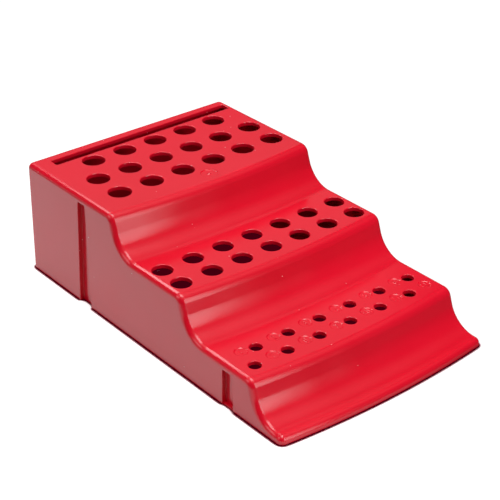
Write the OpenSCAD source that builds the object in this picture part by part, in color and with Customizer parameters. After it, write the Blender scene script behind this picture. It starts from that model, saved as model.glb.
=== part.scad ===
// Stepped rack for microcentrifuge tubes: one open-bottomed moulding in glossy red plastic.
// Three decks climb from a low front lip to the rear wall. X runs across, the lip faces -Y,
// and the origin is on the table, under the middle of the rack.
// The tubes hang by their lids and caps in the deck holes, with their tips in the open inside.

/* [Body] */
// Width across the feet of the side walls
rack_w = 140; // [134:1:180]
// Thickness of every wall and deck
wall = 2.4; // [1.8:0.1:3]
// Radius on the inner side of every edge
inner_r = 0.8; // [0.4:0.1:1]
// Lean of the side walls, in degrees
side_draft = 0.9; // [0:0.1:1.5]
// How far the lip and the risers bulge forward at the middle
bow = 4.2; // [0:0.2:6]

/* [Steps] */
// Height of the front lip
lip_h = 4.7; // [4.4:0.1:8]
// Depth of the front lip at its ends
lip_d = 4.8; // [4.8:0.2:12]
// Height of the low deck above the lip
rise_1 = 20.3; // [17.5:0.1:30]
// Height of the middle deck above the low deck
rise_2 = 21; // [17.5:0.1:30]
// Height of the top deck above the middle deck
rise_3 = 21; // [17.5:0.1:30]
// From the foot of the low riser to the foot of the middle riser
tier_1_d = 56; // [54:1:75]
// From the foot of the middle riser to the foot of the top riser
tier_2_d = 60; // [58:1:80]
// From the foot of the top riser to the rear wall
tier_3_d = 101.7; // [99:0.1:122]
// Slope of the risers, in degrees
riser_a = 72; // [62:1:74]
// Radius of the hollow at the foot of a riser
foot_r = 17; // [10:0.5:17]
// Radius of the crest of a riser
crest_r = 6; // [5:0.5:6.5]

/* [Low deck: small tubes in two staggered rows] */
// Bore of each hole
low_d = 6.8; // [5:0.1:7.6]
// Holes in a row
low_n = 6; // [2:1:6]
// Spacing of the holes in a row
low_pitch = 21.25; // [16:0.05:21.5]
// From the foot of the riser to the first row
low_y = 28.8; // [27.5:0.1:32]
// Spacing of the two rows
low_row = 12.1; // [9:0.1:13]

/* [Middle deck: tubes with hinged lids in two rows] */
// Bore of each hole
mid_d = 11.2; // [9:0.1:12]
// Holes in a row
mid_n = 7; // [2:1:7]
// Spacing of the holes in a row
mid_pitch = 19.95; // [16:0.05:20]
// From the foot of the riser to the first row
mid_y = 30; // [29.5:0.1:33]
// Spacing of the two rows
mid_row = 16.3; // [14:0.1:18]

/* [Top deck: screw-cap tubes in three rows] */
// Bore of each hole
top_d = 13; // [10:0.1:13.4]
// Holes in each of the two front rows; the rear row has one less
top_n = 6; // [2:1:6]
// Spacing of the holes in a row
top_pitch = 21.3; // [16:0.05:21.5]
// From the foot of the riser to the first row
top_y = 38.7; // [36:0.1:39]
// Spacing of the rows
top_row = 20.5; // [15:0.1:20.8]
// Sideways place of the rows
top_x = 4.2; // [0:0.1:4.2]
// Length of the slot behind the rows
slot_l = 122.6; // [60:0.1:122.6]
// Sideways place of the slot
slot_x = 3.8; // [0:0.1:3.8]
// Width of the slot
slot_w = 6.6; // [4.5:0.1:6.8]
// From the slot to the rear wall's outer face
slot_gap = 7.3; // [5:0.1:8]
// Corner radius of the slot
slot_r = 1.2; // [0.5:0.1:2]

/* [Grooves in the left wall] */
// Width of the front groove
groove_1_w = 8.4; // [5:0.1:12]
// Width of the rear groove at its foot
groove_2_w = 11.1; // [7:0.1:14]
// How far each side of the rear groove leans in towards its top, in degrees
groove_2_taper = 2; // [0:0.5:2.5]
// Depth of each groove
groove_d = 2.6; // [2:0.1:5]
// From the foot of the low riser to the front groove
groove_1_y = 32.1; // [28:0.1:35]
// From the foot of the top riser to the rear groove
groove_2_y = 41.3; // [30:0.1:70]
// From the top of a groove to the deck above it
groove_gap = 4.2; // [4:0.1:8]
// Thickness of the web that closes the front groove at its foot
web_t = 1; // [0.6:0.1:2]
// How far the web stands back from the wall's face
web_back = 0.6; // [0.2:0.1:1.5]

/* [Hidden] */

// Edges: the side edges have rim_r, and the lip and the rear edge a little more.
rim_r = wall + inner_r;
end_r = rim_r + 0.2;
// Heights of the decks, and places of the riser feet from the front corners
deck_1 = lip_h + rise_1;
deck_2 = deck_1 + rise_2;
deck_3 = deck_2 + rise_3;
foot_1 = lip_d;
foot_2 = foot_1 + tier_1_d;
foot_3 = foot_2 + tier_2_d;
rear_y = foot_3 + tier_3_d;
// Smoothness: facets of a riser's foot, its crest, an edge, and of the bow across the rack
foot_n = 6;
crest_n = 5;
edge_n = 5;
bow_n = 10;
over = 1;

// Points [y, z, heading] along an arc that starts at (y, z) and turns from heading h0 to h1.
function arc(y, z, h0, h1, r, n) =
    let (s = sign(h1 - h0), cy = y - s * r * sin(h0), cz = z + s * r * cos(h0))
    [for (i = [0:n]) let (h = h0 + (h1 - h0) * i / n) [cy + s * r * sin(h), cz - s * r * cos(h), h]];

// One riser: a hollow foot, a straight slope and a rounded crest.
function riser(y, z, rise) =
    let (
        turn = 1 - cos(riser_a),
        slope = (rise - (foot_r + crest_r) * turn) / sin(riser_a),
        y1 = y + foot_r * sin(riser_a) + slope * cos(riser_a),
        z1 = z + foot_r * turn + slope * sin(riser_a)
    )
    concat(arc(y, z, 0, riser_a, foot_r, foot_n), arc(y1, z1, riser_a, 0, crest_r, crest_n));

// The profile from the lip's foot, over the decks, to the rear wall's foot. Only the front is bowed.
front_rows = concat(
    [[0, 0, 90]],
    arc(0, lip_h - end_r, 90, 0, end_r, edge_n),
    riser(foot_1, lip_h, rise_1),
    riser(foot_2, deck_1, rise_2),
    riser(foot_3, deck_2, rise_3)
);
rear_rows = concat(arc(rear_y - end_r, deck_3, 0, -90, end_r, edge_n), [[rear_y, 0, -90]]);
rows = concat([for (p = front_rows) [p, bow]], [for (p = rear_rows) [p, 0]]);

// Places across the rack as [share of the half width, angle around the edge rounding].
columns = concat(
    [for (i = [0:edge_n]) [-1, 90 * i / edge_n]],
    [for (i = [1:bow_n - 1]) [2 * i / bow_n - 1, 90]],
    [for (i = [edge_n:-1:0]) [1, 90 * i / edge_n]]
);
row_n = len(rows);
col_n = len(columns);

// A point of the skin that lies inset below the outer surface.
function skin_point(row, column, inset) =
    let (
        p = row[0],
        r = rim_r - inset,
        sink = inset + r * (1 - sin(column[1])),
        z = p[1] - sink * cos(p[2]),
        half = rack_w / 2 - z * tan(side_draft) - inset,
        x = column[0] * (half - r * (1 - cos(column[1]))),
        bulge = row[1] * (1 - pow(x / (rack_w / 2), 2))
    )
    [x, p[0] + sink * sin(p[2]) - bulge, z];

function skin_grid(inset) = [for (row = rows) for (column = columns) skin_point(row, column, inset)];

// Feet of one side wall, one for each row between the lip's edge and the rear edge.
function side_feet(inset, side) = [
    for (i = [2:row_n - 3])
        [side * (rack_w / 2 - inset), skin_point(rows[i], [side, 0], inset)[1], 0]
];

// Each skin is a block of points: its grid, then its left feet, then its right feet.
foot_count = row_n - 4;
skin_size = row_n * col_n + 2 * foot_count;
function grid_at(skin, i, j) = skin * skin_size + i * col_n + j;
function foot_at(skin, i, side) =
    let (j = side < 0 ? 0 : col_n - 1)
    i <= 1 ? grid_at(skin, 0, j)
    : i >= row_n - 2 ? grid_at(skin, row_n - 1, j)
    : skin * skin_size + row_n * col_n + (side < 0 ? 0 : foot_count) + i - 2;

function flipped(faces) = [for (f = faces) [f[2], f[1], f[0]]];

function grid_faces(skin) = [
    for (i = [0:row_n - 2]) for (j = [0:col_n - 2]) for (half = [0, 1])
        half == 0
        ? [grid_at(skin, i, j), grid_at(skin, i + 1, j), grid_at(skin, i + 1, j + 1)]
        : [grid_at(skin, i, j), grid_at(skin, i + 1, j + 1), grid_at(skin, i, j + 1)]
];

function wall_faces(skin, side, j) = [
    for (i = [1:row_n - 3]) for (half = [0, 1])
        half == 0
        ? [grid_at(skin, i, j), foot_at(skin, i, side), foot_at(skin, i + 1, side)]
        : [grid_at(skin, i, j), foot_at(skin, i + 1, side), grid_at(skin, i + 1, j)]
];

function skin_faces(skin) = concat(
    grid_faces(skin),
    wall_faces(skin, -1, 0),
    flipped(wall_faces(skin, 1, col_n - 1))
);

// The loop of a skin's lowest points, once around the rack.
function loop(skin) = concat(
    [for (j = [0:col_n - 1]) grid_at(skin, 0, j)],
    [for (i = [2:row_n - 3]) foot_at(skin, i, 1)],
    [for (j = [col_n - 1:-1:0]) grid_at(skin, row_n - 1, j)],
    [for (i = [row_n - 3:-1:2]) foot_at(skin, i, -1)]
);

// The flat foot of the walls, between the two loops.
function ring_faces(a, b) =
    let (n = len(a))
    [
        for (k = [0:n - 1]) for (half = [0, 1])
            half == 0 ? [a[k], a[(k + 1) % n], b[(k + 1) % n]] : [a[k], b[(k + 1) % n], b[k]]
    ];

// The shell: an outer and an inner skin, one wall apart.
module shell() {
    points = concat(
        skin_grid(0), side_feet(0, -1), side_feet(0, 1),
        skin_grid(wall), side_feet(wall, -1), side_feet(wall, 1)
    );
    faces = concat(skin_faces(0), flipped(skin_faces(1)), ring_faces(loop(0), loop(1)));
    polyhedron(points, faces, convexity = 8);
}

// A row of n upright holes through a deck whose top is at z.
module hole_row(n, pitch, d, x, y, z) {
    for (i = [0:n - 1])
        translate([x + (i - (n - 1) / 2) * pitch, y, z - wall - over])
            cylinder(h = wall + 2 * over, d = d, $fn = 48);
}

module low_holes() {
    hole_row(low_n, low_pitch, low_d, -low_pitch / 4, foot_1 + low_y, deck_1);
    hole_row(low_n, low_pitch, low_d, low_pitch / 4, foot_1 + low_y + low_row, deck_1);
}

module mid_holes() {
    for (i = [0, 1])
        hole_row(mid_n, mid_pitch, mid_d, 0, foot_2 + mid_y + i * mid_row, deck_2);
}

module top_holes() {
    for (i = [0:2])
        hole_row(i < 2 ? top_n : top_n - 1, top_pitch, top_d, top_x, foot_3 + top_y + i * top_row, deck_3);
}

// The long slot behind the screw-cap tubes.
module rear_slot() {
    translate([slot_x - slot_l / 2, rear_y - slot_gap - slot_w, deck_3 - wall - over])
        linear_extrude(wall + 2 * over) {
            translate([slot_r, 0]) square([slot_l - 2 * slot_r, slot_w]);
            translate([0, slot_r]) square([slot_l, slot_w - 2 * slot_r]);
            for (x = [slot_r, slot_l - slot_r])
                for (y = [slot_r, slot_w - slot_r])
                    translate([x, y]) circle(slot_r, $fn = 32);
        }
}

// A block along the left wall that leans with it, from depth d0 to d1 below its outer face. It is
// w wide at the table, and each end leans in by the taper.
module wall_block(y, w, d0, d1, z0, z1, taper = 0) {
    lean = tan(side_draft);
    draw_in = tan(taper);
    low = z0 - over;
    high = z1 + over;
    intersection() {
        translate([-rack_w / 2, y + w + over, 0])
            rotate([90, 0, 0])
                linear_extrude(w + 2 * over)
                    polygon([
                        [d0 + z0 * lean, z0],
                        [d1 + z0 * lean, z0],
                        [d1 + z1 * lean, z1],
                        [d0 + z1 * lean, z1]
                    ]);
        translate([-rack_w / 2 + d0 - over, 0, 0])
            rotate([90, 0, 90])
                linear_extrude(d1 - d0 + z1 * lean + 2 * over)
                    polygon([
                        [y + low * draw_in, low],
                        [y + w - low * draw_in, low],
                        [y + w - high * draw_in, high],
                        [y + high * draw_in, high]
                    ]);
    }
}

// The wall behind a groove, which steps inward around it.
module groove_wall(y, w, deck, taper = 0) {
    wall_block(y - wall, w + 2 * wall, wall / 2, groove_d + wall, 0, deck - wall / 2, taper);
}

// A groove, cut from the height foot up to its top, a little below the deck.
module groove(y, w, deck, foot, taper = 0) {
    wall_block(y, w, -over, groove_d, foot, deck - groove_gap, taper);
}

// The front groove stops at a thin web. The rear one is open at the table.
module front_groove() {
    y = foot_1 + groove_1_y;
    groove(y, groove_1_w, deck_1, web_t);
    wall_block(y, groove_1_w, -over, web_back, -over, web_t + over);
}

module rear_groove() {
    groove(foot_3 + groove_2_y, groove_2_w, deck_3, -over, groove_2_taper);
}

module rack() {
    color([0.86, 0.07, 0.15])
        translate([0, (bow - rear_y) / 2, 0])
            difference() {
                union() {
                    shell();
                    groove_wall(foot_1 + groove_1_y, groove_1_w, deck_1);
                    groove_wall(foot_3 + groove_2_y, groove_2_w, deck_3, groove_2_taper);
                }
                front_groove();
                rear_groove();
                low_holes();
                mid_holes();
                top_holes();
                rear_slot();
            }
}

rack();
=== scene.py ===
import math

import bpy
from mathutils import Matrix, Vector
from mathutils.geometry import delaunay_2d_cdt


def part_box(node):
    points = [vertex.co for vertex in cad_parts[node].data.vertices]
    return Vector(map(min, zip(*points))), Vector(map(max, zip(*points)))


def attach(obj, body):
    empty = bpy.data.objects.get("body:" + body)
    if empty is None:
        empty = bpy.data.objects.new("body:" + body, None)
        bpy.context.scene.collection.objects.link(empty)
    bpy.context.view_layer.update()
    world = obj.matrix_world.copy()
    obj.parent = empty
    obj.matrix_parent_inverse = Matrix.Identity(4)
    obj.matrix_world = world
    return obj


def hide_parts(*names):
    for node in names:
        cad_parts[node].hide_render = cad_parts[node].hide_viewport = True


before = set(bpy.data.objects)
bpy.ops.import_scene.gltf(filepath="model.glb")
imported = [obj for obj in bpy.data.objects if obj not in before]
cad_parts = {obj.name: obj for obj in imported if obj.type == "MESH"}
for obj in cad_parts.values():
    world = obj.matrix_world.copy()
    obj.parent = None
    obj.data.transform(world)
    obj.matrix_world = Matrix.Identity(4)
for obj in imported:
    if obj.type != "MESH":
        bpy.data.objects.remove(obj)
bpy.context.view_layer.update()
mm = 0.001

# ---------------------------------------------------------------------------------------------
# The stepped rack
# One injection moulding in glossy red plastic. Three decks climb from a low front lip to the
# rear wall, over risers with a hollow foot and a rounded crest, and it is open underneath.
# ---------------------------------------------------------------------------------------------

rack_low, rack_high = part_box("rack")
half_width = (rack_high.x - rack_low.x) / 2
rear_face = rack_high.y

wall = 2.4 * mm
edge_radius = 3.2 * mm
end_radius = 3.4 * mm
wall_lean = math.tan(math.radians(0.9))
bow = 4.2 * mm
riser_slope = math.radians(72)
hollow_radius = 17 * mm
crest_radius = 6 * mm
foot_radius = 0.7 * mm
foot_steps = 4
foot_levels = [foot_radius * (1 - math.cos(math.pi / 2 * i / foot_steps)) for i in range(foot_steps + 1)]

front_face = rack_low.y + bow
lip_top = 4.7 * mm
low_deck = 25 * mm
middle_deck = 46 * mm
top_deck = rack_high.z
low_riser = front_face + 4.8 * mm
middle_riser = low_riser + 56 * mm
top_riser = middle_riser + 60 * mm

welds_in_a_mm = 2000


class Skin:
    """Faces with welded corners. Each corner keeps the true normal of the surface it lies on."""

    def __init__(self):
        self.points = []
        self.known = {}
        self.faces = []
        self.normals = []

    def corner(self, point):
        key = tuple(round(c / mm * welds_in_a_mm) for c in point)
        if key not in self.known:
            self.known[key] = len(self.points)
            self.points.append(Vector(round(c, 8) for c in point))
        return self.known[key]

    def face(self, corners):
        """Adds one face from (point, normal) pairs, turned so that it looks the way its normals do."""
        kept = []
        for point, normal in corners:
            number = self.corner(point)
            if number not in [k[0] for k in kept]:
                kept.append((number, normal))
        if len(kept) < 3:
            return
        places = [self.points[k[0]] - self.points[kept[0][0]] for k in kept]
        facing = Vector()
        for a, b in zip(places, places[1:] + places[:1]):
            facing += a.cross(b)
        if facing.dot(sum((Vector(k[1]) for k in kept), Vector())) < 0:
            kept.reverse()
        self.faces.append([k[0] for k in kept])
        self.normals.extend(Vector(k[1]).normalized() for k in kept)

    def band(self, first, second, closed=False):
        """Joins two lines of (point, normal) pairs with a row of quads."""
        count = len(first)
        for i in range(count if closed else count - 1):
            j = (i + 1) % count
            self.face([first[i], first[j], second[j], second[i]])

    def fill(self, loops, normal):
        """Fills a flat region: the first loop is its outline, and the others are its holes."""
        loops = [[p for p, q in zip(loop, loop[1:] + loop[:1]) if self.corner(p) != self.corner(q)]
                 for loop in loops]
        points = [p for loop in loops for p in loop]
        across = [i for i in range(3) if i != max(range(3), key=lambda i: abs(normal[i]))]
        flat = [Vector([p[i] / mm for i in across]) for p in points]
        rings = []
        start = 0
        for loop in loops:
            ring = list(range(start, start + len(loop)))
            turn = sum(flat[a].cross(flat[b]) for a, b in zip(ring, ring[1:] + ring[:1]))
            rings.append(ring if turn > 0 else ring[::-1])
            start += len(loop)
        inside_only = 1
        closest = 1e-7
        _, _, triangles, sources, _, owners = delaunay_2d_cdt(flat, [], rings, inside_only, closest)
        for triangle, owned in zip(triangles, owners):
            if list(owned) == [0]:
                self.face([(points[sources[v][0]], normal) for v in triangle])

    def mesh(self, name):
        mesh = bpy.data.meshes.new(name)
        mesh.from_pydata(self.points, [], self.faces)
        mesh.shade_smooth()
        mesh.normals_split_custom_set(self.normals)
        return mesh


def arc(y, z, start, end, radius, steps):
    """Points (y, z, heading) along an arc from (y, z) that turns from one heading to another."""
    side = 1 if end > start else -1
    centre_y = y - side * radius * math.sin(start)
    centre_z = z + side * radius * math.cos(start)
    turned = [start + (end - start) * i / steps for i in range(steps + 1)]
    return [(centre_y + side * radius * math.sin(h), centre_z - side * radius * math.cos(h), h)
            for h in turned]


def riser(y, z, top, steps):
    """A hollow foot, a straight slope and a rounded crest, from height z up to the next deck."""
    turn = 1 - math.cos(riser_slope)
    slope = (top - z - (hollow_radius + crest_radius) * turn) / math.sin(riser_slope)
    crest_y = y + hollow_radius * math.sin(riser_slope) + slope * math.cos(riser_slope)
    crest_z = z + hollow_radius * turn + slope * math.sin(riser_slope)
    return (arc(y, z, 0, riser_slope, hollow_radius, 2 * steps)
            + arc(crest_y, crest_z, riser_slope, 0, crest_radius, steps))


def foot_inset(z):
    """How far the rounded foot of a wall stands in at a height."""
    below = max(0, foot_radius - z)
    return foot_radius - math.sqrt(foot_radius ** 2 - below ** 2)


def turned_down(normal, z):
    """A wall's normal, turned down where its foot is rounded."""
    below = max(0, 1 - z / foot_radius)
    return normal * math.sqrt(1 - below ** 2) - Vector((0, 0, below))


class Shell:
    """One skin of the moulding, inset below the outer surface, with its decks left open."""

    def __init__(self, skin, inset, steps, wide_steps, deck_stops):
        self.skin = skin
        self.inset = inset
        upright = math.pi / 2
        feet = [0] if inset else foot_levels
        rows = [(front_face, z, upright, bow) for z in feet]
        rows += [(*p, bow) for p in arc(front_face, lip_top - end_radius, upright, 0, end_radius, steps)]
        self.decks = []
        levels = [lip_top, low_deck, middle_deck, top_deck]
        for i, foot in enumerate((low_riser, middle_riser, top_riser)):
            rows += [(*p, bow) for p in riser(foot, levels[i], levels[i + 1], 2 * steps)]
            start = len(rows) - 1
            rows += [(y, levels[i + 1], 0, bow) for y in deck_stops[i]]
            self.decks.append((start, len(rows)))
        rows += [(*p, 0) for p in arc(rear_face - end_radius, top_deck, 0, -upright, end_radius, steps)]
        rows += [(rear_face, z, -upright, 0) for z in reversed(feet)]
        turns = [upright * i / steps for i in range(steps + 1)]
        self.columns = [(-1, t) for t in turns]
        self.columns += [(2 * i / wide_steps - 1, upright) for i in range(1, wide_steps)]
        self.columns += [(1, t) for t in reversed(turns)]
        self.left = steps
        self.right = steps + wide_steps
        self.rows = [[self.at(row, column) for column in self.columns] for row in rows]

    def at(self, row, column):
        y, z, heading, bulge = row
        across, turned = column
        inset = self.inset or foot_inset(z)
        radius = edge_radius - inset
        sink = inset + radius * (1 - math.sin(turned))
        height = z - sink * math.cos(heading)
        x = across * (half_width - height * wall_lean - inset - radius * (1 - math.cos(turned)))
        forward = bulge * (1 - (x / half_width) ** 2)
        tilt = -2 * bulge * x / half_width ** 2
        side = Vector((math.copysign(1, across), 0, wall_lean)).normalized()
        up = Vector((-math.sin(heading) * tilt, -math.sin(heading), math.cos(heading))).normalized()
        normal = side * math.cos(turned) + up * math.sin(turned)
        point = Vector((x, y + sink * math.sin(heading) - forward, height))
        return point, (-normal if self.inset else turned_down(normal, z))

    def lay(self, open_left=()):
        """Lays the curved skin. open_left holds the stretches whose left edge meets a groove's wall."""
        flats = {i for start, end in self.decks for i in range(start, end)}
        for i in range(len(self.rows) - 1):
            a, b = self.rows[i], self.rows[i + 1]
            if i in flats:
                if i not in open_left:
                    self.skin.band(a[:self.left + 1], b[:self.left + 1])
                self.skin.band(a[self.right:], b[self.right:])
            else:
                self.skin.band(a, b)

    def deck_outline(self, number, left_points=()):
        start, end = self.decks[number]
        outline = [c[0] for c in self.rows[start][self.left:self.right + 1]]
        outline += [self.rows[i][self.right][0] for i in range(start + 1, end)]
        outline += [c[0] for c in reversed(self.rows[end][self.left:self.right + 1])]
        outline += list(left_points) or [self.rows[i][self.left][0] for i in range(end - 1, start, -1)]
        return outline

    def side_edge(self, column, first=0, last=None):
        return [row[column][0] for row in self.rows[first:last]]


rack_skin = Skin()
outer = Shell(rack_skin, inset=0, steps=8, wide_steps=48, deck_stops=((), (), ()))
left_normal = Vector((-1, 0, wall_lean)).normalized()
right_normal = Vector((1, 0, wall_lean)).normalized()
outer.lay()


def foot_band(near, far):
    """Lays the rounded foot of a side wall between two stacks of (point, normal) pairs."""
    for i in range(len(foot_levels) - 1):
        rack_skin.band([near[i], far[i]], [near[i + 1], far[i + 1]])


above_foot = slice(len(foot_levels) - 1, 1 - len(foot_levels))
front_stack = outer.rows[:len(foot_levels)]
rear_stack = outer.rows[:-1 - len(foot_levels):-1]
foot_band([row[-1] for row in front_stack], [row[-1] for row in rear_stack])
rack_skin.fill([outer.side_edge(-1)[above_foot]], right_normal)

# The grooves in the left wall. Each is a square channel with softened edges, and the wall steps
# inward behind it by its own thickness. The rear one is open at the table and narrows upward. A
# thin web set back from the wall's face closes the front one at its foot.

groove_starts = (low_riser + 32.1 * mm, top_riser + 41.3 * mm)
groove_widths = (8.4 * mm, 11.1 * mm)
groove_tapers = (0, math.tan(math.radians(2)))
groove_decks = (low_deck, top_deck)
groove_gap = 4.2 * mm
groove_depth = 2.6 * mm
groove_edge = 0.35 * mm
groove_root = 0.15 * mm
groove_corner = 0.8 * mm
groove_corner_steps = 8
groove_edge_steps = 4
web_top = 1 * mm
web_back = 0.6 * mm


def quarter_turn(steps):
    """Angles from nothing to a right angle, in even steps."""
    return [math.radians(90 * i / steps) for i in range(steps + 1)]


def wall_point(y, z, depth):
    """A point of the left wall, at a depth below its outer face."""
    return Vector((-half_width + z * wall_lean + depth, y, z))


def groove_outline(number, top, feet):
    """Points (y, z) up one side of the groove, over its top and down, each with its way outward."""
    start, end = groove_starts[number], groove_starts[number] + groove_widths[number]
    taper = groove_tapers[number]
    outline = [(start + z * taper, z, -1, 0) for z in feet]
    level = top - groove_corner
    for centre_y, first in ((start + level * taper + groove_corner, 180),
                            (end - level * taper - groove_corner, 90)):
        for i in range(groove_corner_steps + 1):
            turned = math.radians(first - 90 * i / groove_corner_steps)
            across, along = math.cos(turned), math.sin(turned)
            outline.append((centre_y + groove_corner * across, level + groove_corner * along, across, along))
    return outline + [(end - z * taper, z, 1, 0) for z in reversed(feet)]


def groove_ring(outline, offset, depth, lean_in):
    """The outline moved outward and down into the wall, with the normals of a softened edge."""
    ring = []
    for y, z, out_y, out_z in outline:
        inward = Vector((0, -out_y, -out_z))
        normal = left_normal * math.cos(lean_in) + inward * math.sin(lean_in)
        if depth < foot_inset(z):
            normal = turned_down(left_normal, z)
        ring.append((wall_point(y + out_y * offset, z + out_z * offset, max(depth, foot_inset(z))), normal))
    return ring


def cut_groove(number, has_web):
    """Lays one groove, and returns its edge on the wall's face and its points at the table."""
    feet = foot_levels + [web_top] if has_web else foot_levels
    outline = groove_outline(number, groove_decks[number] - groove_gap, feet)
    edges = []
    for turned in quarter_turn(groove_edge_steps):
        edges.append(groove_ring(outline, groove_edge * (1 - math.sin(turned)),
                                 groove_edge * (1 - math.cos(turned)), turned))
    if has_web:
        edges.append(groove_ring(outline, 0, web_back, math.pi / 2))
    above_web = slice(len(feet) - 1, 1 - len(feet)) if has_web else slice(None)
    depths = [edges[-1][above_web]]
    for turned in quarter_turn(groove_edge_steps):
        depths.append(groove_ring(outline[above_web], -groove_root * (1 - math.cos(turned)),
                                  groove_depth - groove_root * (1 - math.sin(turned)), math.pi / 2 - turned))
    for rings in (edges, depths):
        for first, second in zip(rings, rings[1:]):
            rack_skin.band(first, second)
    rack_skin.fill([[c[0] for c in depths[-1]]], left_normal)
    at_table = edges + depths[1:]
    if has_web:
        at_table = edges
        face = [c[0] for c in edges[-1]]
        for i in range(len(feet) - 1):
            rack_skin.fill([[face[i], face[i + 1], face[-2 - i], face[-1 - i]]], left_normal)
        web_outline = [ring[0][0] for ring in depths] + [ring[-1][0] for ring in reversed(depths)]
        rack_skin.fill([web_outline], Vector((0, 0, 1)))
    return edges[0], ([ring[-1][0] for ring in at_table] + [ring[0][0] for ring in reversed(at_table)])


left_outline = outer.side_edge(0)[above_foot]
left_foot = []
behind = [row[0] for row in rear_stack]
for number in (1, 0):
    edge, foot = cut_groove(number, has_web=number == 0)
    left_outline += [c[0] for c in reversed(edge[above_foot])]
    left_foot += foot
    foot_band(edge[::-1], behind)
    behind = edge
foot_band([row[0] for row in front_stack], behind)
rack_skin.fill([left_outline], left_normal)

# The inside: the same form one wall thickness in, with the backs of the grooves standing in it.


def groove_back(number, z):
    """Where both sides of the wall behind a groove stand along y, at a height."""
    start, end = groove_starts[number] - wall, groove_starts[number] + groove_widths[number] + wall
    return start + z * groove_tapers[number], end - z * groove_tapers[number]


inner = Shell(rack_skin, inset=wall, steps=4, wide_steps=24,
              deck_stops=(groove_back(0, low_deck - wall), (), groove_back(1, top_deck - wall)))
back_rows = [inner.decks[0][0] + 1, inner.decks[2][0] + 1]
inner.lay(open_left=back_rows)
rack_skin.fill([inner.side_edge(-1)], -right_normal)
stops = [0, back_rows[0], back_rows[0] + 1, back_rows[1], back_rows[1] + 1, len(inner.rows) - 1]
feet = [None, *groove_back(0, 0), *groove_back(1, 0), None]
for i in (0, 2, 4):
    stretch = inner.side_edge(0, stops[i], stops[i + 1] + 1)
    stretch += [wall_point(y, 0, wall) for y in (feet[i + 1], feet[i]) if y is not None]
    rack_skin.fill([stretch], -left_normal)

inner_left_foot = []
inner_notches = []
for number, row in enumerate(back_rows):
    sides = []
    for i, foot_y, facing in zip((row, row + 1), groove_back(number, 0), (-1, 1)):
        corner = [c[0] for c in inner.rows[i][:inner.left + 1]]
        foot = wall_point(foot_y, 0, wall)
        back_foot = wall_point(foot_y, 0, groove_depth + wall)
        back_top = wall_point(corner[0].y, groove_decks[number] - wall, groove_depth + wall)
        rack_skin.fill([[foot] + corner + [back_top, back_foot]], Vector((0, facing, 0)))
        sides.append((foot, back_foot, back_top, corner[-1]))
    near, far = sides
    rack_skin.fill([[near[1], far[1], far[2], near[2]]], -left_normal)
    inner_left_foot.append([near[0], near[1], far[1], far[0]])
    inner_notches.append([far[3], far[2], near[2], near[3]])

outer_foot = [c[0] for c in outer.rows[0]] + [c[0] for c in reversed(outer.rows[-1])] + left_foot
inner_foot = [c[0] for c in inner.rows[0]] + [c[0] for c in reversed(inner.rows[-1])]
for notch in reversed(inner_left_foot):
    inner_foot += list(reversed(notch))
rack_skin.fill([outer_foot, inner_foot], Vector((0, 0, -1)))

# The holes and the slot. Their rims are softened above and a little less below, as a moulding's
# are, so a tube slides in and its lid or cap sits down on the deck.

rim_above = 0.5 * mm
rim_above_steps = 5
rim_below = 0.25 * mm
rim_below_steps = 3


def round_hole(x, y, diameter, around=64):
    """An outline as (x, y) with its way outward."""
    turns = [2 * math.pi * i / around for i in range(around)]
    return [(x + diameter / 2 * math.cos(t), y + diameter / 2 * math.sin(t), math.cos(t), math.sin(t))
            for t in turns]


def long_slot(x, y, length, width, corner, around=12):
    """The outline of an oblong slot with rounded corners, as (x, y) with its way outward."""
    outline = []
    for quarter, (side_x, side_y) in enumerate(((1, 1), (-1, 1), (-1, -1), (1, -1))):
        for i in range(around + 1):
            turned = math.pi / 2 * (quarter + i / around)
            across, along = math.cos(turned), math.sin(turned)
            outline.append((x + side_x * (length / 2 - corner) + corner * across,
                            y + side_y * (width / 2 - corner) + corner * along, across, along))
    return outline


def opening(outline, deck):
    """Lays an opening's rims and wall through a deck, and returns its outlines above and below."""
    rings = []
    for turned in quarter_turn(rim_above_steps):
        offset = rim_above * (1 - math.sin(turned))
        height = deck - rim_above * (1 - math.cos(turned))
        rings.append([((x + ox * offset, y + oy * offset, height),
                       (-ox * math.sin(turned), -oy * math.sin(turned), math.cos(turned)))
                      for x, y, ox, oy in outline])
    for turned in quarter_turn(rim_below_steps):
        offset = rim_below * (1 - math.cos(turned))
        height = deck - wall + rim_below * (1 - math.sin(turned))
        rings.append([((x + ox * offset, y + oy * offset, height),
                       (-ox * math.cos(turned), -oy * math.cos(turned), -math.sin(turned)))
                      for x, y, ox, oy in outline])
    for first, second in zip(rings, rings[1:]):
        rack_skin.band(first, second, closed=True)
    return [c[0] for c in rings[0]], [c[0] for c in rings[-1]]


def hole_row(count, pitch, diameter, x, y):
    """The outlines of a row of holes, with its middle at (x, y)."""
    return [round_hole(x + (i - (count - 1) / 2) * pitch, y, diameter) for i in range(count)]


small_hole = 6.8 * mm
small_pitch = 21.25 * mm
small_y = low_riser + 28.8 * mm
small_gap = 12.1 * mm

lid_hole = 11.2 * mm
lid_pitch = 19.95 * mm
lid_y = middle_riser + 30 * mm
lid_gap = 16.3 * mm

cap_hole = 13 * mm
cap_pitch = 21.3 * mm
cap_x = 4.2 * mm
cap_y = top_riser + 38.7 * mm
cap_gap = 20.5 * mm

slot_x = 3.8 * mm
slot_length = 122.6 * mm
slot_width = 6.6 * mm
slot_corner = 1.2 * mm
slot_behind = 7.3 * mm

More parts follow.
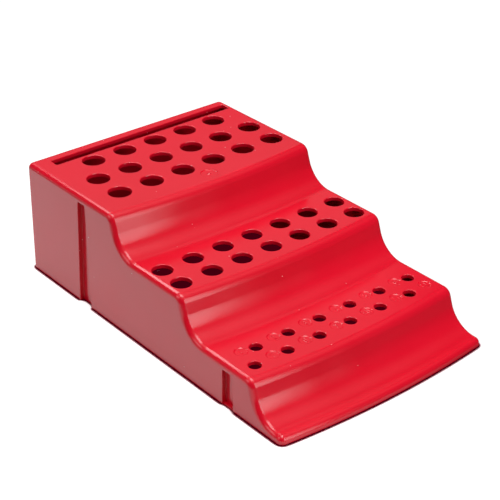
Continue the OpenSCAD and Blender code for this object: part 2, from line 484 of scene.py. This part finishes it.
openings = [[], [], []]
openings[0] += hole_row(6, small_pitch, small_hole, -small_pitch / 4, small_y)
openings[0] += hole_row(6, small_pitch, small_hole, small_pitch / 4, small_y + small_gap)
for i in range(2):
    openings[1] += hole_row(7, lid_pitch, lid_hole, 0, lid_y + i * lid_gap)
for i in range(3):
    openings[2] += hole_row(6 if i < 2 else 5, cap_pitch, cap_hole, cap_x, cap_y + i * cap_gap)
openings[2].append(long_slot(slot_x, rear_face - slot_behind - slot_width / 2,
                             slot_length, slot_width, slot_corner))
above = [[], [], []]
below = [[], [], []]
for number, deck in enumerate((low_deck, middle_deck, top_deck)):
    for outline in openings[number]:
        upper, lower = opening(outline, deck)
        above[number].append(upper)
        below[number].append(lower)

# The position marks on the low deck, one beside each small hole: a number that stands in a
# shallow round dish and stays below the deck. The figures come out a touch under number_height,
# and their upright sides are shaded as if they were rounded over.

mark_x = 2 * mm
mark_y = 1.3 * mm
mark_radius = 3.8 * mm
mark_edge = 0.8 * mm
mark_depth = 0.38 * mm
mark_floor = low_deck - mark_depth
number_top = low_deck - 0.03 * mm
number_height = 3.5 * mm
number_softness = 1.6
figure_share = 0.73


def round_dish(x, y, deck, radius, edge, depth, around=48, steps=6):
    """Lays the wall of a shallow round dish, and returns its edge on the deck and its foot.

    A negative depth raises a round pip instead."""
    turns = [2 * math.pi * i / around for i in range(around)]
    rings = []
    for i in range(steps + 1):
        along = math.pi * i / steps
        away = radius - edge * i / steps
        lean = -depth * math.pi / 2 * math.sin(along)
        rings.append([((x + away * math.cos(t), y + away * math.sin(t),
                        deck - depth * (1 - math.cos(along)) / 2),
                       (lean * math.cos(t), lean * math.sin(t), edge)) for t in turns])
    for first, second in zip(rings, rings[1:]):
        rack_skin.band(first, second, closed=True)
    return [c[0] for c in rings[0]], [c[0] for c in rings[-1]]


def number_outlines(text, x, y):
    """The outlines of a number, centred on (x, y), as loops of (x, y)."""
    letters = bpy.data.curves.new("number", "FONT")
    letters.body = text
    letters.size = number_height / figure_share
    letters.resolution_u = 4
    holder = bpy.data.objects.new("number", letters)
    flat = bpy.data.meshes.new_from_object(holder)
    uses = {}
    for polygon in flat.polygons:
        for key in polygon.edge_keys:
            uses[key] = uses.get(key, 0) + 1
    after = {}
    for polygon in flat.polygons:
        ring = list(polygon.vertices)
        for a, b in zip(ring, ring[1:] + ring[:1]):
            if uses[tuple(sorted((a, b)))] == 1:
                after[a] = b
    spots = [v.co.copy() for v in flat.vertices]
    middle_x = (min(s.x for s in spots) + max(s.x for s in spots)) / 2
    middle_y = (min(s.y for s in spots) + max(s.y for s in spots)) / 2
    loops = []
    while after:
        first = next(iter(after))
        loop = []
        here = first
        while here in after:
            loop.append((x + spots[here].x - middle_x, y + spots[here].y - middle_y))
            here = after.pop(here)
        loops.append(loop)
    bpy.data.objects.remove(holder)
    bpy.data.curves.remove(letters)
    bpy.data.meshes.remove(flat)
    return loops


def area(loop):
    """The area inside a loop of (x, y), which is negative where the loop runs clockwise."""
    return sum(a[0] * b[1] - b[0] * a[1] for a, b in zip(loop, loop[1:] + loop[:1])) / 2


def raised_number(text, x, y):
    """Lays a number on the dish's floor, and returns the loops that the floor is open under."""
    solids = []
    counters = []
    for loop in number_outlines(text, x, y):
        (solids if area(loop) > 0 else counters).append(loop)
        for here, there in zip(loop, loop[1:] + loop[:1]):
            away = Vector((there[1] - here[1], here[0] - there[0], 0)).normalized()
            softened = away + Vector((0, 0, number_softness))
            corners = [(*here, mark_floor), (*there, mark_floor), (*there, number_top), (*here, number_top)]
            rack_skin.face([(c, softened) for c in corners])
    up = Vector((0, 0, 1))
    for solid in solids:
        xs = [p[0] for p in solid]
        inside = [c for c in counters if min(xs) < c[0][0] < max(xs)]
        rack_skin.fill([[(*p, number_top) for p in loop] for loop in [solid] + inside], up)
    for counter in counters:
        rack_skin.fill([[(*p, mark_floor) for p in counter]], up)
    return [[(*p, mark_floor) for p in solid] for solid in solids]


def position_mark(text, x, y):
    """Lays a number in its dish on the low deck, and returns the dish's edge."""
    edge, floor = round_dish(x, y, low_deck, mark_radius, mark_edge, mark_depth)
    rack_skin.fill([floor] + raised_number(text, x, y), Vector((0, 0, 1)))
    return edge


for i in range(6):
    x = (i - 2.5) * small_pitch + mark_x
    above[0].append(position_mark(str(i + 1), x - small_pitch / 4, small_y + small_gap + mark_y))
    above[0].append(position_mark(str(i + 7), x + small_pitch / 4, small_y + mark_y))

# The gate mark on the top deck, where the plastic entered the mould: a small pip in a shallow
# round dish, so that the pip stays below the deck.

gate_x = 2 * mm
gate_y = top_riser + 25.7 * mm
dish_radius = 5.2 * mm
dish_edge = 0.6 * mm
dish_depth = 0.5 * mm
pip_radius = 1.3 * mm
pip_height = 0.47 * mm

dish_rim, dish_floor = round_dish(gate_x, gate_y, top_deck, dish_radius, dish_edge, dish_depth)
pip_foot = round_dish(gate_x, gate_y, top_deck - dish_depth, pip_radius, pip_radius, -pip_height)[0]
rack_skin.fill([dish_floor, pip_foot], Vector((0, 0, 1)))
above[2].append(dish_rim)

for number in range(3):
    rack_skin.fill([outer.deck_outline(number)] + above[number], Vector((0, 0, 1)))
    notch = {0: inner_notches[0], 2: inner_notches[1]}.get(number, ())
    rack_skin.fill([inner.deck_outline(number, notch)] + below[number], Vector((0, 0, -1)))

rack = bpy.data.objects.new("stepped_rack", rack_skin.mesh("stepped_rack"))
bpy.context.scene.collection.objects.link(rack)

# Its plastic: self-coloured red styrene with a polished mould finish. The colour clouds a little
# where the plastic flowed, handling has left faint smears in the gloss, and a few specks of dust
# lie on it. The polish is slightly wavy, as on any large flat moulding.

plastic = bpy.data.materials.new("glossy_red_plastic")
plastic.use_nodes = True
nodes, links = plastic.node_tree.nodes, plastic.node_tree.links
shader = nodes["Principled BSDF"]
shader.inputs["IOR"].default_value = 1.55
place = nodes.new("ShaderNodeTexCoord")

clouds = nodes.new("ShaderNodeTexNoise")
clouds.inputs["Scale"].default_value = 14
clouds.inputs["Detail"].default_value = 3
tint = nodes.new("ShaderNodeValToRGB")
tint.color_ramp.elements[0].position = 0.3
tint.color_ramp.elements[0].color = (0.74, 0.003, 0.019, 1)
tint.color_ramp.elements[1].position = 0.7
tint.color_ramp.elements[1].color = (0.79, 0.0045, 0.024, 1)
links.new(place.outputs["Object"], clouds.inputs["Vector"])
links.new(clouds.outputs["Fac"], tint.inputs["Fac"])

dust = nodes.new("ShaderNodeTexVoronoi")
dust.inputs["Scale"].default_value = 110
specks = nodes.new("ShaderNodeValToRGB")
specks.color_ramp.elements[0].position = 0.02
specks.color_ramp.elements[0].color = (0.8, 0.8, 0.8, 1)
specks.color_ramp.elements[1].position = 0.035
specks.color_ramp.elements[1].color = (0, 0, 0, 1)
dusted = nodes.new("ShaderNodeMix")
dusted.data_type = "RGBA"
dusted.inputs[7].default_value = (0.8, 0.6, 0.6, 1)
links.new(place.outputs["Object"], dust.inputs["Vector"])
links.new(dust.outputs["Distance"], specks.inputs["Fac"])
links.new(specks.outputs["Color"], dusted.inputs[0])
links.new(tint.outputs["Color"], dusted.inputs[6])
links.new(dusted.outputs[2], shader.inputs["Base Color"])

smears = nodes.new("ShaderNodeTexNoise")
smears.inputs["Scale"].default_value = 45
smears.inputs["Detail"].default_value = 2
gloss = nodes.new("ShaderNodeMapRange")
gloss.inputs["From Min"].default_value = 0.35
gloss.inputs["From Max"].default_value = 0.75
gloss.inputs["To Min"].default_value = 0.17
gloss.inputs["To Max"].default_value = 0.24
links.new(place.outputs["Object"], smears.inputs["Vector"])
links.new(smears.outputs["Fac"], gloss.inputs["Value"])
links.new(gloss.outputs["Result"], shader.inputs["Roughness"])

waves = nodes.new("ShaderNodeTexNoise")
waves.inputs["Scale"].default_value = 30
waves.inputs["Detail"].default_value = 2
swell = nodes.new("ShaderNodeBump")
swell.inputs["Strength"].default_value = 0.06
swell.inputs["Distance"].default_value = 0.001
links.new(place.outputs["Object"], waves.inputs["Vector"])
links.new(waves.outputs["Fac"], swell.inputs["Height"])
links.new(swell.outputs["Normal"], shader.inputs["Normal"])

rack.data.materials.append(plastic)
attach(rack, "root")
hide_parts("rack")

# ---------------------------------------------------------------------------------------------
# The table, the studio light and the camera
# A white sheet under the rack on a darker bench. The camera sees all of it as plain white but for
# the rack's own dark red shade, and the rack mirrors the sheet. Soft panels hang overhead and on
# three sides in a dim room.
# ---------------------------------------------------------------------------------------------

reach = 6000 * mm
table_mesh = bpy.data.meshes.new("table")
table_mesh.from_pydata([(-reach, -reach, 0), (reach, -reach, 0), (reach, reach, 0), (-reach, reach, 0)],
                       [], [(0, 1, 2, 3)])
table = bpy.data.objects.new("table", table_mesh)
bpy.context.scene.collection.objects.link(table)

white = bpy.data.materials.new("white_sheet_on_bench")
white.use_nodes = True
nodes, links = white.node_tree.nodes, white.node_tree.links
nodes.remove(nodes["Principled BSDF"])


def combine(operation, first, second):
    """A Math node in the material being built. Its inputs are sockets or plain numbers."""
    maths = nodes.new("ShaderNodeMath")
    maths.operation = operation
    for socket, value in zip(maths.inputs, (first, second)):
        if isinstance(value, bpy.types.NodeSocket):
            links.new(value, socket)
        else:
            socket.default_value = value
    return maths.outputs[0]


def ramp(value, low, high, to_low, to_high):
    """A smooth step in the material being built, from to_low at low to to_high at high."""
    step = nodes.new("ShaderNodeMapRange")
    step.interpolation_type = "SMOOTHSTEP"
    for name, number in (("From Min", low), ("From Max", high), ("To Min", to_low), ("To Max", to_high)):
        step.inputs[name].default_value = number
    links.new(value, step.inputs["Value"])
    return step.outputs["Result"]


# The sheet: a long oval around the rack that fades out into the bench.

spot = nodes.new("ShaderNodeTexCoord")
sheet_place = nodes.new("ShaderNodeMapping")
sheet_place.vector_type = "TEXTURE"
sheet_place.inputs["Location"].default_value = (-0.13, 0.1, 0)
sheet_place.inputs["Scale"].default_value = (0.16, 0.3, 1)
distance = nodes.new("ShaderNodeVectorMath")
distance.operation = "LENGTH"
links.new(spot.outputs["Object"], sheet_place.inputs["Vector"])
links.new(sheet_place.outputs["Vector"], distance.inputs[0])
sheet = ramp(distance.outputs["Value"], 0.5, 1.7, 1, 0)

# The rack's painted shade on the sheet: a thin line where it stands, a softer foot beside it and the dark
# inside it, painted into the sheet's colour and glow from how closed in each spot is, and tinted with the
# rack's red as painted bounce light.

shades = []
for near, dark, clear in ((2.4 * mm, 0.62, 0.92), (6 * mm, 0.2, 0.7), (250 * mm, 0.34, 0.44)):
    shade = nodes.new("ShaderNodeAmbientOcclusion")
    shade.inputs["Distance"].default_value = near
    shades.append(ramp(shade.outputs["AO"], dark, clear, 0, 1))
lit = combine("MULTIPLY", combine("MULTIPLY", shades[0], shades[1]), shades[2])

# The painted shade's colour: dark red where the sheet is closed in, white where it is open.
painted_shade = nodes.new("ShaderNodeCombineColor")
for channel, low, dark in zip(painted_shade.inputs, (0, 0.25, 0.22), (0.06, 0, 0.005)):
    links.new(ramp(lit, low, 1, dark, 1), channel)
matt = nodes.new("ShaderNodeBsdfDiffuse")
tone = nodes.new("ShaderNodeVectorMath")
tone.operation = "SCALE"
links.new(painted_shade.outputs["Color"], tone.inputs[0])
links.new(ramp(sheet, 0, 1, 0.08, 0.42), tone.inputs["Scale"])
links.new(tone.outputs["Vector"], matt.inputs["Color"])

seen = nodes.new("ShaderNodeLightPath")
mirrored = combine("MAXIMUM", seen.outputs["Is Glossy Ray"], seen.outputs["Is Transmission Ray"])
to_camera = combine("MULTIPLY", seen.outputs["Is Camera Ray"], ramp(sheet, 0, 1, 1, 0.8))
to_rack = combine("MULTIPLY", mirrored, combine("MULTIPLY", sheet, 0.85))
glow = nodes.new("ShaderNodeEmission")
links.new(painted_shade.outputs["Color"], glow.inputs["Color"])
links.new(combine("MAXIMUM", to_camera, to_rack), glow.inputs["Strength"])
both = nodes.new("ShaderNodeAddShader")
links.new(matt.outputs[0], both.inputs[0])
links.new(glow.outputs[0], both.inputs[1])
links.new(both.outputs[0], nodes["Material Output"].inputs["Surface"])
table_mesh.materials.append(white)

# The room: dim, with a pale ceiling, and a pale backdrop low down behind the rack.

world = bpy.data.worlds.new("studio")
bpy.context.scene.world = world
world.use_nodes = True
nodes, links = world.node_tree.nodes, world.node_tree.links
way = nodes.new("ShaderNodeTexCoord")
rise = nodes.new("ShaderNodeSeparateXYZ")
links.new(way.outputs["Generated"], rise.inputs[0])
seen = nodes.new("ShaderNodeLightPath")
surround = nodes["Background"]
surround.inputs["Color"].default_value = (1, 1, 1, 1)
toward_rear = ramp(rise.outputs["Y"], 0.1, 0.5, 0, 1)
near_floor = ramp(rise.outputs["Z"], 0.02, 0.22, 1, 0)
ceiling = ramp(rise.outputs["Z"], 0.65, 1.1, 0.05, 0.9)
room = combine("MAXIMUM", ceiling, combine("MULTIPLY", toward_rear, near_floor))
links.new(combine("MAXIMUM", seen.outputs["Is Camera Ray"], room), surround.inputs["Strength"])

panel_distance = 2500 * mm


def panel(name, bearing, height, width, depth, power):
    """A soft light panel that faces the rack, at a bearing clockwise from the rear and a height above
    the table, both in degrees. Its width and depth are in metres."""
    light = bpy.data.lights.new(name, "AREA")
    light.shape = "RECTANGLE"
    light.size = width
    light.size_y = depth
    light.energy = power
    lamp = bpy.data.objects.new(name, light)
    turned, risen = math.radians(bearing), math.radians(height)
    way = Vector((math.sin(turned) * math.cos(risen), math.cos(turned) * math.cos(risen), math.sin(risen)))
    lamp.location = way * panel_distance
    lamp.rotation_euler = way.to_track_quat("Z", "Y").to_euler()
    bpy.context.scene.collection.objects.link(lamp)


panel("overhead_panel", bearing=180, height=89, width=1.5, depth=1.5, power=32.5)
panel("front_panel", bearing=171.5, height=26, width=1.3, depth=2, power=29)
panel("left_panel", bearing=290, height=35, width=1.2, depth=1.2, power=8)
panel("rear_panel", bearing=4, height=47, width=1.54, depth=0.42, power=12)
panel("rear_backdrop", bearing=25, height=39, width=1.77, depth=1.3, power=2.5)

# The camera stands at the front left and looks down on the rack through a long lens.

view_yaw = math.radians(39.27)
view_pitch = math.radians(29.7)
view_roll = math.radians(-0.04)
view_distance = 775 * mm
aim = Vector((-0.31 * mm, -0.78 * mm, 35.8 * mm))
ahead = Vector((math.sin(view_yaw) * math.cos(view_pitch), math.cos(view_yaw) * math.cos(view_pitch),
                -math.sin(view_pitch)))
right = Vector((math.cos(view_yaw), -math.sin(view_yaw), 0))
up = right.cross(ahead)
level_right = right * math.cos(view_roll) + up * math.sin(view_roll)
level_up = up * math.cos(view_roll) - right * math.sin(view_roll)
lens = bpy.data.cameras.new("camera")
lens.sensor_width = 36
lens.lens = 102.6
camera = bpy.data.objects.new("camera", lens)
camera.matrix_world = Matrix.Translation(aim - ahead * view_distance) @ Matrix(
    (level_right, level_up, -ahead)).transposed().to_4x4()
bpy.context.scene.collection.objects.link(camera)
bpy.context.scene.camera = camera
bpy.context.scene.view_settings.view_transform = "Standard"
